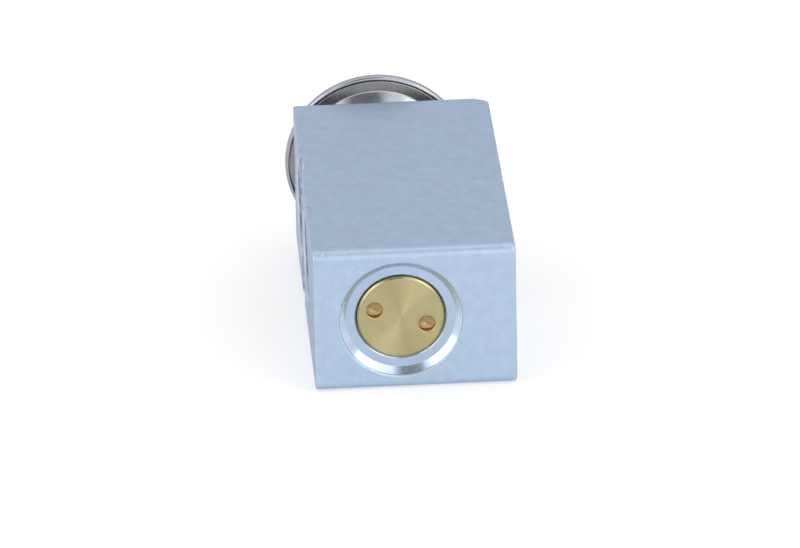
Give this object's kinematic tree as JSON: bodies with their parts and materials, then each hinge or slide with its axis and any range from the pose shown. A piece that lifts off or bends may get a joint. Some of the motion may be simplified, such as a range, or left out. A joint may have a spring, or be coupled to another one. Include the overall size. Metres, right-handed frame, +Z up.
{
  "type": "thermal expansion valve",
  "caption": "Block-type thermal expansion valve: machined aluminium body with cross passages, brass adjusting screw, sprung ball valve and round pressure head.",
  "frame": {"origin": "middle of the footprint, level with the lowest point of the pressure head's rim", "axes": "+Y along the valve axis from the adjusting screw to the pressure head, +X towards the inlet port's face, +Z up, with the plain faces above and below as the part is pictured"},
  "size_m": [0.0398, 0.0786, 0.036],
  "materials": {
    "matt_aluminium": "matt, lightly tumbled",
    "turned_brass": "fine turned",
    "stainless_sheet": "drawn sheet, satin",
    "spring_steel": "smooth",
    "black_rubber": "matt",
    "pale_resin": "matt"
  },
  "bodies": {
    "block": {"valve_block": "matt_aluminium", "lower_cover": "stainless_sheet", "upper_cover": "stainless_sheet", "charge_plug": "spring_steel", "diaphragm": "stainless_sheet", "head_seal_ring": "black_rubber", "seat_ring": "stainless_sheet", "rod_backup_ring": "pale_resin", "rod_seal_oring": "black_rubber", "push_nut": "spring_steel"},
    "screw_carrier": {"adjusting_screw_oring": "black_rubber", "valve_spring": "spring_steel"},
    "screw": {"adjusting_screw": "turned_brass"},
    "valve_train": {"stopper": "turned_brass", "heat_sensing_rod": "matt_aluminium", "rod_sleeve": "pale_resin", "operating_rod": "stainless_sheet", "valve_ball": "spring_steel", "ball_support": "turned_brass", "vibration_spring": "stainless_sheet"}
  },
  "joints": [
    {"name": "screw_travel", "type": "slide", "parent": "block", "child": "screw_carrier", "axis": [0, 1, 0], "range_m": [-0.0005, 0.0015], "deforming": ["valve_spring"]},
    {"name": "screw_turn", "type": "hinge", "parent": "screw_carrier", "child": "screw", "pos_m": [-0.00185, -0.03815, 0.018], "axis": [0, 1, 0], "range_deg": [-180.01, 540.01]},
    {"name": "valve_stroke", "type": "slide", "parent": "block", "child": "valve_train", "axis": [0, 1, 0], "range_m": [0, 0.0007], "stiffness_N_per_m": 1500, "springref_m": -0.0004, "deforming": ["diaphragm"]}
  ],
  "couplings": [
    {"joint": "screw_turn", "follows": "screw_travel", "rad_per_m": 6283.2}
  ]
}
